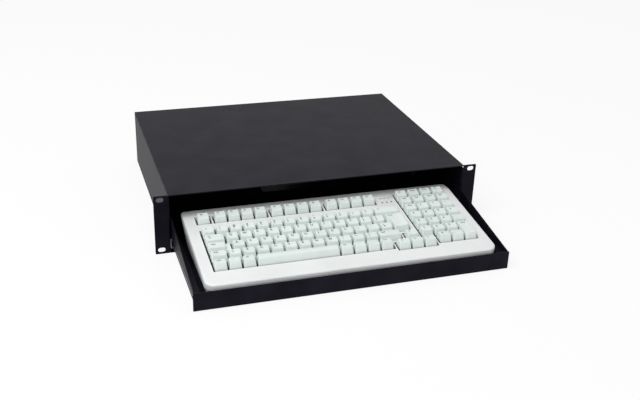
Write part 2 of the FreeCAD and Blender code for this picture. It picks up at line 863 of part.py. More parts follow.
# An upright block on an outline
def upright(points, low, high):
    return Part.Face(level_wire(points, low)).extrude(V(0, 0, high - low))


# The outline of a block's opening in the upper shell, drawn out by a further margin
def opening_outline(block, margin):
    return inset(outline_in_mm(block), -key_opening_side_gap - margin, -key_opening_end_gap - margin,
                 -key_opening_end_gap - margin)


# The upper shell's form, drawn in by a margin: level over the keys, with a top that slopes down
# behind them and a rounded rim
def case_block(margin):
    outline = round_rectangle(case_width - 2 * margin, margin, case_depth - margin, -case_skirt,
                              case_corner_radius - margin)
    block = Part.Face(outline).extrude(V(0, 0, case_skirt - margin))
    side_x = -case_width / 2
    ridge = V(side_x, key_y(key_lines) + case_slope_margin, -margin)
    rear = V(side_x, case_depth, -case_rear_drop - margin)
    first, middle, last = corner_arc(V(side_x, 0, -margin), ridge, rear, case_ridge_radius - margin)
    bend = Part.Arc(first, middle, last).toShape()
    rest = Part.makePolygon([last, rear, V(side_x, case_depth, overrun), V(side_x, first.y, overrun), first])
    slope = Part.Face(Part.Wire([bend] + rest.Edges)).extrude(V(case_width, 0, 0))
    block = block.cut(slope)
    rim = []
    for edge in block.Edges:
        bounds = edge.BoundBox
        is_high = bounds.ZMin > -case_rear_drop - margin - fit_gap
        is_crease = bounds.XLength > case_width / 2 and first.y - fit_gap < bounds.YMin < last.y + fit_gap
        if is_high and not is_crease:
            rim.append(edge)
    return block.makeFillet(case_edge_radius - margin, rim)


def keyboard_top_shell():
    outer = case_block(0)
    shell = outer.cut(case_block(case_wall))
    rims = [upright(opening_outline(block, bezel_wall), -bezel_depth, -case_wall) for block in key_blocks]
    bosses = group(pins(boss_points(), case_boss_diameter, -case_skirt, 0)).common(case_block(case_wall / 2))
    shell = shell.fuse(rims + bosses.Solids).removeSplitter()
    openings = [upright(opening_outline(block, 0), -bezel_depth - overrun, overrun) for block in key_blocks]
    lights = pins(light_points(), light_diameter + 2 * fit_gap, -bezel_depth, overrun)
    pilot_top = case_screw_top() + case_screw_length + pilot_spare
    pilots = pins(boss_points(), case_screw_diameter + 2 * fit_gap, -case_skirt, pilot_top)
    return cut_all(shell, openings + lights + pilots)


# The lower shell is lofted from its level base to the tilted rim of the upper shell
def lower_shell_loft(offset, base_z):
    width = case_width - 2 * lower_shell_inset - 2 * offset
    radius = case_corner_radius - lower_shell_inset - offset / 2
    front = lower_shell_inset + offset
    rear = case_depth - lower_shell_inset - offset
    rim = round_rectangle(width, front, rear, -case_skirt, radius)
    rim = seat(rim)
    front_y = rim.BoundBox.YMin + lower_shell_draft
    rear_y = rim.BoundBox.YMax - lower_shell_draft
    base = round_rectangle(width - 2 * lower_shell_draft, front_y, rear_y, base_z, radius)
    base.translate(V(case_offset, 0, 0))
    return Part.makeLoft([base, rim], True, True)


# Posts under the circuit board, clear of the case screws
def post_points():
    half, front, rear = board_outline()
    side_x = half - post_side_inset
    return [(x, y) for y in (front + post_end_inset, rear - post_end_inset) for x in (-side_x, 0, side_x)]


def keyboard_bottom_shell():
    base_z = tray_floor_z + foot_height
    outer = lower_shell_loft(0, base_z)
    shell = outer.cut(lower_shell_loft(case_wall, base_z + case_wall))
    deep = -case_skirt - 2 * case_depth * math.sin(math.radians(case_tilt))
    pillars = seat(group(pins(boss_points(), case_pillar_diameter, deep, -case_skirt))).common(outer)
    reach = case_width + case_depth
    above_base = box(-reach, reach, -reach, reach, base_z, base_z + reach)
    posts = seat(group(pins(post_points(), board_post_diameter, deep, board_level - board_sheet)))
    shell = shell.fuse(pillars.Solids + posts.common(above_base).Solids).removeSplitter()
    shanks = pins(boss_points(), case_screw_diameter + 2 * fit_gap, deep, overrun - case_skirt)
    well_diameter = case_screw_head_diameter + 2 * stem_clearance
    wells = pins(boss_points(), well_diameter, deep, case_screw_top())
    cut_half = cord_outlet_width / 2
    outlet = box(-cut_half, cut_half, case_depth - 4 * case_wall, case_depth + overrun,
                 -case_skirt - cord_outlet_height, overrun - case_skirt)
    return shell.cut(seat(group(shanks))).cut(seat(group(wells))).cut(seat(outlet))


# Where the case screws' heads bear, up inside the lower shell's pillars
def case_screw_top():
    return -case_skirt - case_screw_seat


# Case screws pass up through the lower shell's pillars into the upper shell's bosses
def case_screws():
    bearing = case_screw_top()
    heads = pins(boss_points(), case_screw_head_diameter, bearing - case_screw_head_height, bearing)
    shanks = pins(boss_points(), case_screw_diameter, bearing, bearing + case_screw_length)
    return group([head.fuse(shank) for head, shank in zip(heads, shanks)])


def keyboard_feet():
    xs = [case_offset + side * (case_width / 2 - foot_inset) for side in (-1, 1)]
    ys = [case_front_y + foot_inset, case_front_y + case_depth - foot_inset]
    points = [(x, y) for x in xs for y in ys]
    return group(pins(points, foot_diameter, tray_floor_z, tray_floor_z + foot_height))


parts = {
    "bottom_panel": bottom_panel,
    "top_cover": top_cover,
    "rear_panel": rear_panel,
    "cover_screws": lambda: group(on_cover(countersunk_screw())),
    "base_screws": lambda: group(under_bottom(countersunk_screw())),
    "rear_screws": lambda: group(behind_rear(countersunk_screw())),
    "outer_rail_rivets": outer_rail_rivets,
    "inner_rail_rivets": inner_rail_rivets,
    "tray_pan": tray_pan,
    "tray_front": tray_front,
    "keyboard_top_shell": lambda: seat(keyboard_top_shell()),
    "keyboard_bottom_shell": keyboard_bottom_shell,
    "switch_plate": lambda: seat(switch_plate()),
    "circuit_board": lambda: seat(circuit_board()),
    "key_switches": lambda: seat(key_switches()),
    "stabilisers": lambda: seat(stabilisers()),
    "indicator_lights": lambda: seat(indicator_lights()),
    "keyboard_feet": keyboard_feet,
    "case_screws": lambda: seat(case_screws()),
    "caps_lock_key": lambda: seat(caps_lock()),
    "space_bar": lambda: seat(space_bar()),
    "enter_key": lambda: seat(enter_key()),
    "number_pad_enter_key": lambda: seat(pad_enter_key()),
}

handed_parts = {
    "side_panel": side_panel_right,
    "outer_rail": outer_rail_right,
    "inner_rail": inner_rail_right,
    "ball_cage": ball_cage_right,
    "slide_balls": slide_balls_right,
}

os.makedirs("parts", exist_ok=True)
for name, make in parts.items():
    make().exportStep("parts/" + name + ".step")
for name, make in handed_parts.items():
    shape = make()
    shape.exportStep("parts/" + name + "_right.step")
    mirrored(shape).exportStep("parts/" + name + "_left.step")
for name, row, left, widths in key_rows:
    seat(group(key_row(row, left, widths))).exportStep("parts/" + name + ".step")
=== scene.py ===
import json
import math

import bmesh
import bpy
from mathutils import Matrix, Vector


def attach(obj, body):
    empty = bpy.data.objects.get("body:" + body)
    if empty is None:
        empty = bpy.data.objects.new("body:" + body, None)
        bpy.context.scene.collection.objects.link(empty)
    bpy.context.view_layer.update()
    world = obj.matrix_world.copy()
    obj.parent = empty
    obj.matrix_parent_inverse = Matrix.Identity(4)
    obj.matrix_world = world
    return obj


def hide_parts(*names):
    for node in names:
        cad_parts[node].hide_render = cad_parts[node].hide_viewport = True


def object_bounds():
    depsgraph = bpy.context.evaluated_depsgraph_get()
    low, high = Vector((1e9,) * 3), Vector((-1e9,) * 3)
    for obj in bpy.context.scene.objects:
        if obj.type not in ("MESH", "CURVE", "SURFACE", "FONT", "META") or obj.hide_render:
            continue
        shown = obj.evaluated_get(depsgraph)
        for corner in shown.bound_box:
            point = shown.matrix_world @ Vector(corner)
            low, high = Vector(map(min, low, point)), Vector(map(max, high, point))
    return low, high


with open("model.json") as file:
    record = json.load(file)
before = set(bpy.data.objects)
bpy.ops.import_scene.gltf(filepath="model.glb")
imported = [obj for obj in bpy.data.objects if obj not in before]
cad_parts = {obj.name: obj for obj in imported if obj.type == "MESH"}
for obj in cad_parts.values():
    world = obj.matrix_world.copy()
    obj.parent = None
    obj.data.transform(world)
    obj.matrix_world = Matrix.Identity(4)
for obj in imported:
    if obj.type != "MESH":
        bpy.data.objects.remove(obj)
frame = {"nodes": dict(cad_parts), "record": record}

mm = 0.001  # sizes are written in millimetres, Blender works in metres
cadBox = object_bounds()
bodyOf = {node: body for body, nodes in frame["record"]["behaviour"]["bodies"].items() for node in nodes}
print("stage: frame with", len(bodyOf), "nodes")


# Materials


# A hex colour as the linear values that shaders take
def linearColour(hexColour):
    parts = [int(hexColour[i:i + 2], 16) / 255 for i in (1, 3, 5)]
    return [p / 12.92 if p <= 0.04045 else ((p + 0.055) / 1.055) ** 2.4 for p in parts] + [1.0]


# One node: settings go to its sockets or properties by name, and links join its sockets to outputs
def addNode(tree, kind, settings=None, links=None):
    node = tree.nodes.new(kind)
    for name, value in (settings or {}).items():
        if name in node.inputs:
            node.inputs[name].default_value = value
        else:
            setattr(node, name, value)
    for name, output in (links or {}).items():
        tree.links.new(output, node.inputs[name])
    return node


# A ramp of two stops, each a place and a hex colour or a plain value
def addRamp(tree, factor, stops):
    ramp = addNode(tree, "ShaderNodeValToRGB", links={"Fac": factor})
    for element, (place, colour) in zip(ramp.color_ramp.elements, stops):
        element.position = place
        element.color = linearColour(colour) if isinstance(colour, str) else [colour] * 3 + [1.0]
    return ramp.outputs["Color"]


# How every finish reads its noise: where the ramps start and end, and how dark the painted shade in a slit
# gets
noise = {
    "patchDetail": 3.0,
    "patchRamp": (0.35, 0.65),
    "grainDetail": 2.0,
    "grainRoughness": 0.6,
    "grainRamp": (0.3, 0.7),
    "paintedShadeRamp": (0.3, 0.6),
    "paintedShadeDarkest": 0.05,
    "paintedShadeSamples": 8,
}


# A finish whose colour drifts over patches and whose fine grain sets its gloss and relief.
# Patch and grain are the real sizes in millimetres, relief is the height of the grain, stretch draws the
# grain out along an axis, and the slit is the width of the slits and gaps in which painted shade darkens
# the colour.
def makeFinish(name, dark, light, patch, grain, gloss, relief, stretch=(1, 1, 1), paintedShadeSlit=0, sockets=None):
    material = bpy.data.materials.new(name)
    material.use_nodes = True
    tree = material.node_tree
    shader = tree.nodes["Principled BSDF"]
    place = addNode(tree, "ShaderNodeTexCoord").outputs["Object"]
    broad = {"Scale": 1 / (patch * mm), "Detail": noise["patchDetail"]}
    patches = addNode(tree, "ShaderNodeTexNoise", broad, {"Vector": place})
    run = addNode(tree, "ShaderNodeMapping", {"Scale": stretch}, {"Vector": place})
    fine = {"Scale": 1 / (grain * mm), "Detail": noise["grainDetail"], "Roughness": noise["grainRoughness"]}
    grains = addNode(tree, "ShaderNodeTexNoise", fine, {"Vector": run.outputs["Vector"]})
    colour = addRamp(tree, patches.outputs["Fac"], zip(noise["patchRamp"], (dark, light)))
    roughness = addRamp(tree, grains.outputs["Fac"], zip(noise["grainRamp"], gloss))
    bump = addNode(tree, "ShaderNodeBump", {"Strength": 1.0, "Distance": relief * mm},
                   {"Height": grains.outputs["Fac"]})
    # Painted shade: an occlusion node darkens the colour wherever other surfaces stand within the slit
    # width
    if paintedShadeSlit:
        reach = addNode(tree, "ShaderNodeAmbientOcclusion",
                        {"Distance": paintedShadeSlit * mm, "samples": noise["paintedShadeSamples"]})
        shade = addRamp(tree, reach.outputs["AO"], zip(noise["paintedShadeRamp"], (noise["paintedShadeDarkest"], 1.0)))
        shaded = addNode(tree, "ShaderNodeVectorMath", {"operation": "MULTIPLY"}, {0: colour, 1: shade})
        colour = shaded.outputs[0]
    tree.links.new(colour, shader.inputs["Base Color"])
    tree.links.new(roughness, shader.inputs["Roughness"])
    tree.links.new(bump.outputs["Normal"], shader.inputs["Normal"])
    for socket, value in (sockets or {}).items():
        shader.inputs[socket].default_value = value
    return material


finishSettings = {
    # Polyester powder baked on steel: near black and satin, its fine orange peel scatters every highlight
    "blackPowderCoat": {
        "dark": "#0b0a11",
        "light": "#17161f",
        "patch": 45,
        "grain": 1.3,
        "gloss": (0.4, 0.56),
        "relief": 0.05,
        "sockets": {"Specular IOR Level": 0.09, "Specular Tint": (0.86, 0.8, 1.0, 1.0)},
    },
    # Dull black lacquer on the plate between the keys, which leaves the slits between them dark
    "blackLacquer": {
        "dark": "#161716",
        "light": "#1f211f",
        "patch": 20,
        "grain": 0.8,
        "gloss": (0.5, 0.65),
        "relief": 0.01,
    },
    # Passivated zinc plate on rolled steel: bright grey with a bluish cast and draw lines along the rail
    "zincPlate": {
        "dark": "#9fa3a8",
        "light": "#b6babd",
        "patch": 25,
        "grain": 0.6,
        "gloss": (0.26, 0.44),
        "relief": 0.01,
        "stretch": (1, 0.04, 1),
        "sockets": {"Metallic": 1.0},
    },
    # Hardened chrome steel balls, polished: they mirror the rails
    "chromeSteel": {
        "dark": "#c4c6c9",
        "light": "#d2d3d5",
        "patch": 6,
        "grain": 0.3,
        "gloss": (0.08, 0.14),
        "relief": 0.002,
        "sockets": {"Metallic": 1.0},
    },
    # Black oxide on the screws and rivets: dull, hardly lighter where the heads catch the light
    "blackOxide": {
        "dark": "#0d0c10",
        "light": "#151317",
        "patch": 3,
        "grain": 0.4,
        "gloss": (0.42, 0.58),
        "relief": 0.02,
        "sockets": {"Specular IOR Level": 0.12},
    },
    # Injection moulded ABS with a fine spark eroded texture: warm white, satin, with painted shade that
    # darkens it in narrow slits and gaps
    "whiteAbs": {
        "dark": "#e9ebeb",
        "light": "#eef0f0",
        "patch": 60,
        "grain": 0.7,
        "gloss": (0.42, 0.56),
        "relief": 0.015,
        "paintedShadeSlit": 5.0,
        "sockets": {"Specular IOR Level": 0.45},
    },
    # Moulded PBT keycaps: a cooler white than the case, with a dry fine grain, and painted shade that
    # darkens them in the gaps between the caps
    "keycapPbt": {
        "dark": "#e2ece8",
        "light": "#e8f1ed",
        "patch": 30,
        "grain": 0.5,
        "gloss": (0.44, 0.6),
        "relief": 0.02,
        "paintedShadeSlit": 4.0,
        "sockets": {"Specular IOR Level": 0.4},
    },
    # Pad printed legends: matt dark grey ink, a little soft at this size
    "legendInk": {
        "dark": "#434a49",
        "light": "#505756",
        "patch": 4,
        "grain": 0.3,
        "gloss": (0.6, 0.75),
        "relief": 0.002,
    },
    # Glass fibre board under green solder resist, glossy over its weave
    "solderResist": {
        "dark": "#0f4a2c",
        "light": "#15593a",
        "patch": 12,
        "grain": 0.8,
        "gloss": (0.2, 0.34),
        "relief": 0.01,
    },
    # Black nylon switch housings, slightly glossy
    "blackNylon": {
        "dark": "#1b1b1c",
        "light": "#242425",
        "patch": 8,
        "grain": 0.5,
        "gloss": (0.4, 0.55),
        "relief": 0.01,
    },
    # Smoked acrylic light pipes seen unlit: dark grey with a green cast, glossy
    "acrylicPipe": {
        "dark": "#565d58",
        "light": "#646b65",
        "patch": 3,
        "grain": 0.4,
        "gloss": (0.12, 0.22),
        "relief": 0.002,
        "sockets": {"Transmission Weight": 0.2, "IOR": 1.49},
    },
    # Moulded rubber feet, matt and slightly dusty
    "blackRubber": {
        "dark": "#1c1c1c",
        "light": "#2b2a29",
        "patch": 10,
        "grain": 0.6,
        "gloss": (0.75, 0.9),
        "relief": 0.03,
    },
}
finishes = {name: makeFinish(name, **settings) for name, settings in finishSettings.items()}

nodeFinishes = {
    "blackPowderCoat": ["side_panel_left", "side_panel_right", "bottom_panel", "top_cover", "rear_panel",
                        "tray_pan", "tray_front"],
    "zincPlate": ["outer_rail_left", "outer_rail_right", "inner_rail_left", "inner_rail_right",
                  "ball_cage_left", "ball_cage_right"],
    "blackLacquer": ["switch_plate"],
    "chromeSteel": ["slide_balls_left", "slide_balls_right"],
    "blackOxide": ["cover_screws", "base_screws", "rear_screws", "case_screws", "outer_rail_rivets",
                   "inner_rail_rivets"],
    "solderResist": ["circuit_board"],
    "blackNylon": ["key_switches", "stabilisers"],
    "acrylicPipe": ["indicator_lights"],
    "blackRubber": ["keyboard_feet"],
}
for finish, names in nodeFinishes.items():
    for name in names:
        frame["nodes"][name].data.materials.clear()
        frame["nodes"][name].data.materials.append(finishes[finish])
print("stage: materials")


# Keycaps and their legends

keyboard = {
    "pitch": 19.05,
    "columns": 19.5,
    "frontMargin": 28.0,
    "functionGap": 16.0,  # clear space in front of the function keys
    "tilt": 6.3,
    "frontMiddle": (1.1, -156.0, -11.85),  # middle of the case's front edge
}
# Rows and columns of the keys, in key pitches
functionRow = 5 + keyboard["functionGap"] / keyboard["pitch"]
padLeft = 15.5
arrowDrop = 0.25
# Takes millimetres on the keyboard's own axes to the frame
seat = (Matrix.Translation(Vector(keyboard["frontMiddle"]) * mm)
        @ Matrix.Rotation(math.radians(keyboard["tilt"]), 4, "X") @ Matrix.Scale(mm, 4))


def columnX(column):
    return (column - keyboard["columns"] / 2) * keyboard["pitch"]


def rowY(row):
    return keyboard["frontMargin"] + row * keyboard["pitch"]


case = {
    "wide": 405.0,
    "deep": 183.4,
    "corner": 15.0,  # radii of the solid's corners and rim, and those of the moulding
    "frontCorner": 12.5,
    "rearCorner": 7.0,
    "rim": 4.5,
    "tightRim": 2.8,
    "ridge": 162.95,
    "rearDrop": 3.5,
    "wallZone": 4.6,  # how far in from the outline the walls and the rim reach
    "grooveTop": -3.2,
    "grooveWidth": 0.5,
    "grooveDepth": 0.4,
    "grooveShoulder": 0.1,
    "nearWall": 0.1,  # how near to the wall, to the rim's curve or to a level a point counts as lying on it
    "nearRim": 0.3,
    "nearLevel": 0.01,
}
weldDistance = 0.002
cutTolerance = 0.001


# Height of the case's top at a place from front to rear
def caseTop(y):
    behind = max(0, y - case["ridge"])
    return -case["rearDrop"] * behind / (case["deep"] - case["ridge"])


# Radius of the moulding's corner nearest to a place
def mouldedCorner(y):
    return case["frontCorner"] if y < case["deep"] / 2 else case["rearCorner"]


# Centre of the corner that a place lies in, for a corner radius, with None where the side is straight
def cornerCentre(x, y, zone, radius):
    centreX = centreY = None
    if abs(x) > case["wide"] / 2 - zone:
        centreX = math.copysign(case["wide"] / 2 - radius, x)
    if y < zone:
        centreY = radius
    elif y > case["deep"] - zone:
        centreY = case["deep"] - radius
    return centreX, centreY


# Moves a point of the case's wall or rim: corners from one radius to the other, and the rim's curve too
def tightenPoint(point, hasRim):
    x, y, z = point
    radius = case["corner"]
    centreX, centreY = cornerCentre(x, y, radius, radius)
    inCorner = centreX is not None and centreY is not None
    if inCorner:
        away = Vector((x - centreX, y - centreY))
        inset = radius - away.length
    else:
        inset = min(case["wide"] / 2 - abs(x), y, case["deep"] - y)
    if inset > case["wallZone"]:
        return point
    depth = caseTop(y) - z
    rim = case["rim"]
    offCurve = abs(math.hypot(rim - inset, rim - depth) - rim)
    onRim = hasRim and depth < rim + case["nearWall"] and offCurve < case["nearRim"]
    newInset = inset * case["tightRim"] / rim if onRim else inset
    if inCorner:
        newX, newY = cornerCentre(x, y, radius, mouldedCorner(y))
        away = away.normalized() * (mouldedCorner(y) - newInset)
        x, y = newX + away.x, newY + away.y
    elif case["wide"] / 2 - abs(x) == inset:
        x = math.copysign(case["wide"] / 2 - newInset, x)
    else:
        y = newInset if y < case["deep"] / 2 else case["deep"] - newInset
    if onRim:
        z = caseTop(y) - depth * case["tightRim"] / rim
    return Vector((x, y, z))


# A shell of the case, from a merged copy of its solid, in millimetres on the case's own axes
def makeShell(node, hasRim):
    bm = bmesh.new()
    bm.from_mesh(frame["nodes"][node].data)
    bm.transform(seat.inverted())
    bmesh.ops.remove_doubles(bm, verts=bm.verts, dist=weldDistance)
    for vert in bm.verts:
        vert.co = tightenPoint(vert.co.copy(), hasRim)
    return bm


# The parting line: a groove round the walls, cut by planes and drawn in
def addGroove(bm):
    high, low = case["grooveTop"], case["grooveTop"] - case["grooveWidth"]
    for level in (high + case["grooveShoulder"], high, low, low - case["grooveShoulder"]):
        geom = bm.verts[:] + bm.edges[:] + bm.faces[:]
        bmesh.ops.bisect_plane(bm, geom=geom, dist=cutTolerance, plane_co=(0, 0, level), plane_no=(0, 0, 1))
    for vert in bm.verts:
        if low - case["nearLevel"] < vert.co.z < high + case["nearLevel"]:
            x, y = vert.co.x, vert.co.y
            radius = mouldedCorner(y)
            centreX, centreY = cornerCentre(x, y, radius, radius)
            if centreX is not None and centreY is not None:
                away = Vector((x - centreX, y - centreY))
                if away.length > radius - case["nearWall"]:
                    away = away.normalized() * (away.length - case["grooveDepth"])
                    vert.co.x, vert.co.y = centreX + away.x, centreY + away.y
            elif case["wide"] / 2 - abs(x) < case["nearWall"]:
                vert.co.x -= math.copysign(case["grooveDepth"], x)
            elif min(y, case["deep"] - y) < case["nearWall"]:
                vert.co.y += math.copysign(case["grooveDepth"], case["deep"] / 2 - y)


keycap = {
    "gap": 2.4,
    "sink": 1.5,  # how far the skirts hang into the case
    "sideLean": 0.11,  # leans are millimetres inwards for each millimetre up
    "frontLean": 0.42,
    "rearLean": 0.16,
    "leanTurns": 4,
    "dishRadius": 38.0,
    "dishedBelow": 1.5,  # narrower keys than this, in key pitches, have dished tops
    "crownRadius": 14.0,
    "crownShare": 0.42,
    "wall": 1.1,
    "roof": 1.4,
    "edge": 1.2,
    "edgeSegments": 4,
    "edgeAngle": 35,
    "cell": 2.4,  # size of the facets of a dished top
    "stem": 3.9,
    "stemDepth": 3.6,
    "stemRoot": 0.2,
    "step": 1.25,  # where the low end of caps lock starts, in key pitches
    "stepHeight": 2.6,
    "riser": 0.2,
    # heights of the tops over the case at their front and rear edges, from the front row to the rear ones
    "tops": [(9.2, 7.0), (7.4, 7.0), (6.8, 7.0), (6.2, 7.8), (6.6, 8.4), (6.6, 8.6), (6.4, 8.8)],
}

# The keys of each node: row, left edge and widths in key pitches, and their legends from left to right.
# Two signs on one key stand above each other, the shifted one first.
keyRows = {
    "escape_key": (functionRow, 0, [1], ["Esc"]),
    "function_keys_1_to_4": (functionRow, 1.25, [1] * 4, ["F1", "F2", "F3", "F4"]),
    "function_keys_5_to_8": (functionRow, 5.5, [1] * 4, ["F5", "F6", "F7", "F8"]),
    "function_keys_9_to_12": (functionRow, 9.75, [1] * 4, ["F9", "F10", "F11", "F12"]),
    "number_row_keys": (4, 0, [1] * 13, ["~`", "!1", "@2", "#3", "$4", "%5", "^6", "&7", "*8", "(9", ")0",
                                         "_-", "+="]),
    "backspace_key": (4, 13, [2], ["<--"]),
    "tab_key": (3, 0, [1.5], ["|<-\n->|"]),
    "upper_letter_keys": (3, 1.5, [1] * 12, list("QWERTYUIOP") + ["{[", "}]"]),
    "enter_key": (2, 13.5, [1.5], ["Enter"]),
    "caps_lock_key": (2, 0, [1.75], ["Caps"]),
    "home_letter_keys": (2, 1.75, [1] * 12, list("ASDFGHJKL") + [":;", "\"'", "|#"]),
    "left_shift_key": (1, 0, [1.25], ["Shift"]),
    "lower_letter_keys": (1, 1.25, [1] * 11, ["><"] + list("ZXCVBNM") + ["<,", ">.", "?/"]),
    "right_shift_key": (1, 12.25, [1.75], ["Shift"]),
    "left_modifier_keys": (0, 0, [1] * 3, ["Ctrl", "", "Alt"]),
    "space_bar": (0, 3, [6], [""]),
    "right_modifier_keys": (0, 9, [1] * 4, ["Alt", "", "", "Ctrl"]),
    "up_arrow_key": (1 - arrowDrop, 14.25, [1], ["^"]),
    "left_arrow_key": (-arrowDrop, 13.25, [1], ["<"]),
    "down_arrow_key": (-arrowDrop, 14.25, [1], ["v"]),
    "right_arrow_key": (-arrowDrop, 15.25, [1], [">"]),
    "navigation_keys_rear": (6, padLeft, [1] * 4, ["Ins", "Home", "PgUp", "Prt"]),
    "navigation_keys_front": (5, padLeft, [1] * 4, ["Del", "End", "PgDn", "Brk"]),
    "number_pad_top_keys": (4, padLeft, [1] * 4, ["Num", "/", "*", "-"]),
    "number_pad_789_keys": (3, padLeft, [1] * 4, ["7", "8", "9", "+"]),
    "number_pad_456_keys": (2, padLeft, [1] * 4, ["4", "5", "6", ""]),
    "number_pad_123_keys": (1, padLeft, [1] * 3, ["1", "2", "3"]),
    "number_pad_zero_keys": (0, padLeft + 1, [1] * 2, ["0", "."]),
    "number_pad_enter_key": (0, padLeft + 3, [1], ["Enter"]),
}


def rowTop(row):
    return keycap["tops"][min(round(row + arrowDrop / 2), len(keycap["tops"]) - 1)]


# Height of a cap's top over the case at a place on it
def topHeight(cap, x, y):
    lowFront, lowRear = cap["tops"]
    height = lowFront + (lowRear - lowFront) * (y - cap["front"]) / cap["deep"]
    if cap["shape"] == "dished":
        away = x - cap["left"] - cap["wide"] / 2
        return height + keycap["dishRadius"] - math.sqrt(keycap["dishRadius"] ** 2 - away ** 2)
    if cap["shape"] == "crowned":
        away = y - cap["front"] - keycap["crownShare"] * keyboard["pitch"]
        return height - keycap["crownRadius"] + math.sqrt(keycap["crownRadius"] ** 2 - away ** 2)
    return height


# Places of the lines across a cap: its marks, and more between them. A mark is a place and the lean of a
# wall that rises there.
def splitLines(marks):
    lines = [marks[0][0]]
    for (start, _), (end, _) in zip(marks, marks[1:]):
        count = max(1, round((end - start) / keycap["cell"]))
        lines += [start + (end - start) * i / count for i in range(1, count)] + [end]
    return lines


# How far a cap leans in for each millimetre that it rises, at a place between its marks
def leanAt(place, marks):
    for (start, startLean), (end, endLean) in zip(marks, marks[1:]):
        if place <= end:
            return startLean + (endLean - startLean) * (place - start) / (end - start)
    return marks[-1][1]


# A cap: a grid of its top whose rim is drawn down to the skirt, with rounded edges, a hollow and its stems
def makeCap(cap):
    right, rear = cap["left"] + cap["wide"], cap["front"] + cap["deep"]
    sideMarks = [(cap["left"], keycap["sideLean"]), (right, -keycap["sideLean"])]
    depthMarks = [(cap["front"], keycap["frontLean"]), (rear, -keycap["rearLean"])]
    if "notch" in cap:
        sideMarks.insert(1, (cap["left"] + cap["notch"], keycap["sideLean"]))
        depthMarks.insert(1, (cap["front"] + cap["deep"] / 2 + keycap["gap"] / 2, keycap["frontLean"]))
    if "step" in cap:
        sideMarks[1:1] = [(cap["step"], 0), (cap["step"] + keycap["riser"], 0)]
    xLines, yLines = splitLines(sideMarks), splitLines(depthMarks)
    bm = bmesh.new()
    bmesh.ops.create_grid(bm, x_segments=len(xLines) - 1, y_segments=len(yLines) - 1, size=0.5)
    spots = {}
    for vert in bm.verts:
        across, along = (vert.co.x + 0.5) * (len(xLines) - 1), (vert.co.y + 0.5) * (len(yLines) - 1)
        spots[vert] = (round(across), round(along))
    if "notch" in cap:
        across, along = xLines.index(sideMarks[1][0]), yLines.index(depthMarks[1][0])
        absent = [face for face in bm.faces
                  if all(spots[v][0] <= across and spots[v][1] <= along for v in face.verts)]
        bmesh.ops.delete(bm, geom=absent, context="FACES")
        spots = {vert: spot for vert, spot in spots.items() if vert.is_valid}
    rim = [edge for edge in bm.edges if edge.is_boundary]
    drawn = bmesh.ops.extrude_edge_only(bm, edges=rim)["geom"]
    skirt = [part for part in drawn if isinstance(part, bmesh.types.BMVert)]
    for low in skirt:
        high = [edge.other_vert(low) for edge in low.link_edges if edge.other_vert(low) in spots][0]
        low.co = (xLines[spots[high][0]], yLines[spots[high][1]], -keycap["sink"])
    for vert, (across, along) in spots.items():
        x, y = xLines[across], yLines[along]
        leanX, leanY = leanAt(x, sideMarks), leanAt(y, depthMarks)
        isLow = "step" in cap and x > cap["step"]
        height = keycap["stepHeight"] if isLow else max(cap["tops"])
        for _ in range(keycap["leanTurns"]):  # the top slopes, so its height changes as the point leans in
            rise = height + keycap["sink"]
            height = keycap["stepHeight"] if isLow else topHeight(cap, x + leanX * rise, y + leanY * rise)
        vert.co = (x + leanX * rise, y + leanY * rise, height)
    bmesh.ops.recalc_face_normals(bm, faces=bm.faces)
    sharpAngle = math.radians(keycap["edgeAngle"])
    sharp = [edge for edge in bm.edges if not edge.is_boundary and edge.calc_face_angle() > sharpAngle]
    bmesh.ops.bevel(bm, geom=sharp, offset=keycap["edge"], offset_type="OFFSET", affect="EDGES",
                    segments=keycap["edgeSegments"], profile=0.5, material=-1, clamp_overlap=True)
    addHollow(bm, cap, sideMarks, depthMarks)
    bmesh.ops.recalc_face_normals(bm, faces=bm.faces)
    return bm


# Pushes faces up into a cap, leaning in with its sides, and gives them back
def raiseFaces(bm, faces, rise, sideMarks, depthMarks):
    raised = bmesh.ops.extrude_face_region(bm, geom=faces)["geom"]
    bmesh.ops.delete(bm, geom=faces, context="FACES_ONLY")
    for part in raised:
        if isinstance(part, bmesh.types.BMVert):
            part.co += Vector((leanAt(part.co.x, sideMarks), leanAt(part.co.y, depthMarks), 1)) * rise
    return [part for part in raised if isinstance(part, bmesh.types.BMFace)]


# The hollow under a cap, shallow under a step, with a stem over the switch and each stabiliser
def addHollow(bm, cap, sideMarks, depthMarks):
    bottomEdges = [edge for edge in bm.edges if edge.is_boundary]
    faces = bmesh.ops.contextual_create(bm, geom=bottomEdges)["faces"]
    bmesh.ops.inset_region(bm, faces=faces, thickness=keycap["wall"], use_even_offset=True)
    level = -keycap["sink"]
    if "step" in cap:
        lowCeiling = keycap["stepHeight"] - keycap["roof"]
        faces = raiseFaces(bm, faces, lowCeiling - level, sideMarks, depthMarks)
        level = lowCeiling
        riserX = cap["step"] - keycap["wall"]
        geom = faces + list(faces[0].edges) + list(faces[0].verts)
        cut = bmesh.ops.bisect_plane(bm, geom=geom, dist=cutTolerance, plane_co=(riserX, 0, 0),
                                     plane_no=(1, 0, 0))
        faces = [part for part in cut["geom"]
                 if isinstance(part, bmesh.types.BMFace) and part.calc_center_bounds().x < riserX]
    ceiling = cap.get("ceiling", min(cap["tops"]) - keycap["roof"])
    raiseFaces(bm, faces, ceiling - level, sideMarks, depthMarks)
    root = ceiling + keycap["stemRoot"]
    tall = root + keycap["stemDepth"]
    size = Matrix.Diagonal((keycap["stem"], keycap["stem"], tall, 1))
    for x, y in cap["stems"]:
        bmesh.ops.create_cube(bm, size=1, matrix=Matrix.Translation((x, y, root - tall / 2)) @ size)


smoothAngle = 40


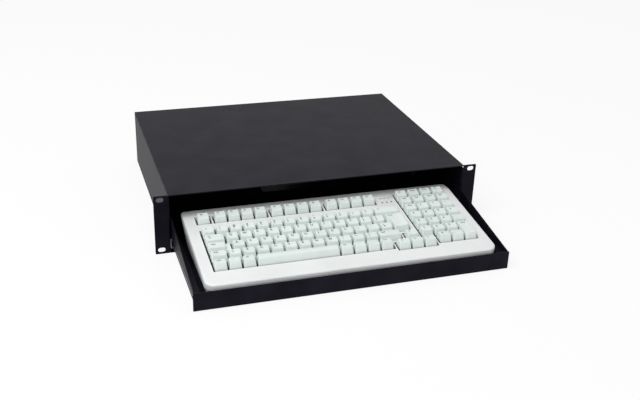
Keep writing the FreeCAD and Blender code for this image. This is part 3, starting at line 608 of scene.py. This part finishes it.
# Makes a piece of a mesh in millimetres on the keyboard's axes, with its finish, riding on its body
def finishPiece(name, bm, material, body, smooth=True):
    mesh = bpy.data.meshes.new(name)
    bm.to_mesh(mesh)
    bm.free()
    mesh.transform(seat)
    mesh.materials.append(finishes[material])
    piece = bpy.data.objects.new(name, mesh)
    bpy.context.scene.collection.objects.link(piece)
    if smooth:
        for polygon in mesh.polygons:
            polygon.use_smooth = True
        mesh.set_sharp_from_angle(angle=math.radians(smoothAngle))
        weighted = piece.modifiers.new("weighted", "WEIGHTED_NORMAL")
        weighted.keep_sharp = True
    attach(piece, body)
    return piece


for node, hasRim in (("keyboard_top_shell", True), ("keyboard_bottom_shell", False)):
    shellMesh = makeShell(node, hasRim)
    if hasRim:
        addGroove(shellMesh)
    shell = finishPiece(node.replace("keyboard", "moulded"), shellMesh, "whiteAbs", bodyOf[node])
    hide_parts(node)
print("stage: case")


legend = {
    "letter": 3.8,  # heights of the printed signs, in mm
    "pair": 2.8,
    "word": 2.3,
    "weight": 0.11,  # how far the strokes are fattened on each side
    "fromLeft": 3.2,  # from the edges of the cap's top
    "fromRear": 2.7,
    "pairDrop": 2.3,  # how far down the lower sign of a pair ends, in heights of a sign
    "lift": 0.04,
    "curveSteps": 2,
    "capShare": 0.7,  # height of a capital in the font, as a share of its size
}


# A sign as a flat mesh, its lower left corner at the place given, laid on a surface
def addSign(bm, sign, size, x, y, surface):
    curve = bpy.data.curves.new("sign", "FONT")
    curve.body = sign
    curve.size = size / legend["capShare"]
    curve.offset = legend["weight"]
    curve.resolution_u = legend["curveSteps"]
    holder = bpy.data.objects.new("sign", curve)
    flat = bpy.data.meshes.new_from_object(holder)
    start = len(bm.verts)
    bm.from_mesh(flat)
    bm.verts.ensure_lookup_table()
    for vert in bm.verts[start:]:
        vert.co = (vert.co.x + x, vert.co.y + y, surface(vert.co.x + x, vert.co.y + y) + legend["lift"])
    bpy.data.objects.remove(holder)
    bpy.data.curves.remove(curve)
    bpy.data.meshes.remove(flat)


# The legend of one cap, near the rear left corner of its top
def addLegend(bm, cap, text):
    if not text:
        return
    rise = min(cap["tops"]) + keycap["sink"]
    left = cap["left"] + keycap["sideLean"] * rise + legend["fromLeft"]
    rear = cap["front"] + cap["deep"] - keycap["rearLean"] * rise - legend["fromRear"]

    def surface(x, y):
        return topHeight(cap, x, y)

    if len(text) == 1:
        addSign(bm, text, legend["letter"], left, rear - legend["letter"], surface)
    elif len(text) == 2 and not text.isalnum():
        addSign(bm, text[0], legend["pair"], left, rear - legend["pair"], surface)
        addSign(bm, text[1], legend["pair"], left, rear - legend["pairDrop"] * legend["pair"], surface)
    else:
        addSign(bm, text, legend["word"], left, rear - legend["word"], surface)


# Caps of a shape of their own: heights, the hollow's ceiling, the notch's width and where the step starts
ownShapes = {
    "space_bar": {"tops": (9.2, 9.2), "shape": "crowned", "ceiling": 5.0},
    "number_pad_enter_key": {"tops": (8.2, 7.0)},
    "enter_key": {"tops": (6.8, 7.8), "shape": "dished", "notch": 0.25 * keyboard["pitch"]},
    "caps_lock_key": {"step": columnX(keycap["step"])},
}
tallKeys = ["enter_key", "number_pad_enter_key"]

# Long keys: how far their stabilisers stand from the switch, to the sides and to front and rear
stabilised = {
    "backspace_key": (12, 0),
    "space_bar": (38, 0),
    "enter_key": (0, 12),
    "number_pad_enter_key": (0, 12),
}
enterSwitch = 14.375  # its column, under the middle of the key's narrow part

for node, (row, left, widths, legends) in keyRows.items():
    cap = {
        "left": columnX(left) + keycap["gap"] / 2,
        "front": rowY(row) + keycap["gap"] / 2,
        "wide": widths[0] * keyboard["pitch"] - keycap["gap"],
        "deep": (2 if node in tallKeys else 1) * keyboard["pitch"] - keycap["gap"],
        "tops": rowTop(row),
        "shape": "dished" if widths[0] < keycap["dishedBelow"] else "straight",
        **ownShapes.get(node, {}),
    }
    switchX, switchY = cap["left"] + cap["wide"] / 2, cap["front"] + cap["deep"] / 2
    if node == "enter_key":
        switchX = columnX(enterSwitch)
    cap["stems"] = [(switchX, switchY)]
    if node in stabilised:
        aside, along = stabilised[node]
        cap["stems"] += [(switchX + side * aside, switchY + side * along) for side in (-1, 1)]
    rowMesh = makeCap(cap)
    first = rowMesh.verts[:] + rowMesh.edges[:] + rowMesh.faces[:]
    for i in range(1, len(widths)):
        copied = bmesh.ops.duplicate(rowMesh, geom=first)["geom"]
        verts = [part for part in copied if isinstance(part, bmesh.types.BMVert)]
        bmesh.ops.translate(rowMesh, verts=verts, vec=(i * keyboard["pitch"], 0, 0))
    caps = finishPiece(node + "_caps", rowMesh, "keycapPbt", bodyOf[node])
    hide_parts(node)
    signs = bmesh.new()
    for i, text in enumerate(legends):
        addLegend(signs, {**cap, "left": cap["left"] + i * keyboard["pitch"]}, text)
    if signs.verts:
        finishPiece(node + "_legends", signs, "legendInk", bodyOf[node], smooth=False)
    else:
        signs.free()
print("stage: keycaps")


# Marks printed behind the three lights

lightMarks = {
    "column": 14.68,  # of the middle light
    "row": 0.86,  # behind the front of the function keys
    "pitch": 7.0,
    "height": 1.8,
    "halfWidth": 2.2,
    "signs": ["Num", "Cap", "Scr"],
}
marks = bmesh.new()
markY = rowY(functionRow + lightMarks["row"]) - lightMarks["height"]
for i, sign in enumerate(lightMarks["signs"]):
    markX = columnX(lightMarks["column"]) + (i - 1) * lightMarks["pitch"] - lightMarks["halfWidth"]
    addSign(marks, sign, lightMarks["height"], markX, markY, lambda x, y: 0)
finishPiece("light_marks", marks, "legendInk", "tray", smooth=False)
print("stage: marks")


# Floor, light and camera

studio = {
    "white": "#ffffff",
    "floorSize": 12.0,
    "floorRoughness": 0.9,
    "floorSpecular": 0.1,
    "glow": 0.85,  # share of plain white in the floor as the camera and reflections see it
    "worldStrength": 0.5,  # for the rays that light the object; looked at, the world is plain white
    "lamps": {
        "keyLight": {"place": (-0.7, -1.1, 1.9), "size": 2.0, "watts": 9},
        "sideLight": {"place": (-1.3, -0.5, 1.9), "size": 1.2, "watts": 24},
    },
}
floorMesh = bpy.data.meshes.new("floor")
floorBm = bmesh.new()
bmesh.ops.create_grid(floorBm, x_segments=1, y_segments=1, size=studio["floorSize"] / 2)
bmesh.ops.translate(floorBm, verts=floorBm.verts, vec=(0, 0, cadBox[0].z))
floorBm.to_mesh(floorMesh)
floorBm.free()
floor = bpy.data.objects.new("floor", floorMesh)
bpy.context.scene.collection.objects.link(floor)


# One where a camera, glossy or transmission ray looks, nothing for the rays that light the object
def lookingRay(tree):
    rays = addNode(tree, "ShaderNodeLightPath")
    looking = rays.outputs["Is Camera Ray"]
    for kind in ("Is Glossy Ray", "Is Transmission Ray"):
        either = addNode(tree, "ShaderNodeMath", {"operation": "MAXIMUM"})
        tree.links.new(looking, either.inputs[0])
        tree.links.new(rays.outputs[kind], either.inputs[1])
        looking = either.outputs[0]
    return looking


# White paper: looked at, it is mostly plain white, so the shadow on it stays faint
floorPaint = bpy.data.materials.new("paperFloor")
floorPaint.use_nodes = True
floorTree = floorPaint.node_tree
paper = floorTree.nodes["Principled BSDF"]
paper.inputs["Base Color"].default_value = linearColour(studio["white"])
paper.inputs["Roughness"].default_value = studio["floorRoughness"]
paper.inputs["Specular IOR Level"].default_value = studio["floorSpecular"]
white = addNode(floorTree, "ShaderNodeEmission", {"Color": linearColour(studio["white"]), "Strength": 1.0})
share = addNode(floorTree, "ShaderNodeMath", {"operation": "MULTIPLY"})
floorTree.links.new(lookingRay(floorTree), share.inputs[0])
share.inputs[1].default_value = studio["glow"]
mixed = addNode(floorTree, "ShaderNodeMixShader", links={"Fac": share.outputs[0]})
floorTree.links.new(paper.outputs["BSDF"], mixed.inputs[1])
floorTree.links.new(white.outputs["Emission"], mixed.inputs[2])
floorTree.links.new(mixed.outputs["Shader"], floorTree.nodes["Material Output"].inputs["Surface"])
floorMesh.materials.append(floorPaint)

world = bpy.data.worlds.new("studioWorld")
world.use_nodes = True
bpy.context.scene.world = world
worldTree = world.node_tree
background = worldTree.nodes["Background"]
strength = addNode(worldTree, "ShaderNodeMapRange", {"To Min": studio["worldStrength"], "To Max": 1.0},
                   {"Value": lookingRay(worldTree)})
worldTree.links.new(strength.outputs["Result"], background.inputs["Strength"])
background.inputs["Color"].default_value = linearColour(studio["white"])


# A square lamp that looks at the object's origin
def addAreaLight(name, place, size, watts):
    data = bpy.data.lights.new(name, "AREA")
    data.size = size
    data.energy = watts
    lamp = bpy.data.objects.new(name, data)
    lamp.location = place
    lamp.rotation_euler = (-Vector(place)).to_track_quat("-Z", "Y").to_euler()
    bpy.context.scene.collection.objects.link(lamp)


for name, lampSettings in studio["lamps"].items():
    addAreaLight(name, **lampSettings)

# The camera that was fitted to the photo: its place in millimetres and its axes
view = {
    "place": (-387.2, -1143.5, 580.7),
    "right": (0.952092, -0.304279, 0.030595),
    "up": (0.103418, 0.414506, 0.904151),
    "back": (-0.287796, -0.857671, 0.426115),
    "lens": 52.18,
    "sensorWidth": 36.0,
    "clipStart": 0.05,
    "clipEnd": 30.0,
}
cameraData = bpy.data.cameras.new("camera")
cameraData.lens = view["lens"]
cameraData.sensor_width = view["sensorWidth"]
cameraData.clip_start = view["clipStart"]
cameraData.clip_end = view["clipEnd"]
camera = bpy.data.objects.new("camera", cameraData)
turn = Matrix((view["right"], view["up"], view["back"])).transposed().to_4x4()
camera.matrix_world = Matrix.Translation(Vector(view["place"]) * mm) @ turn
bpy.context.scene.collection.objects.link(camera)
bpy.context.scene.camera = camera
bpy.context.scene.view_settings.view_transform = "Standard"
print("stage: studio")
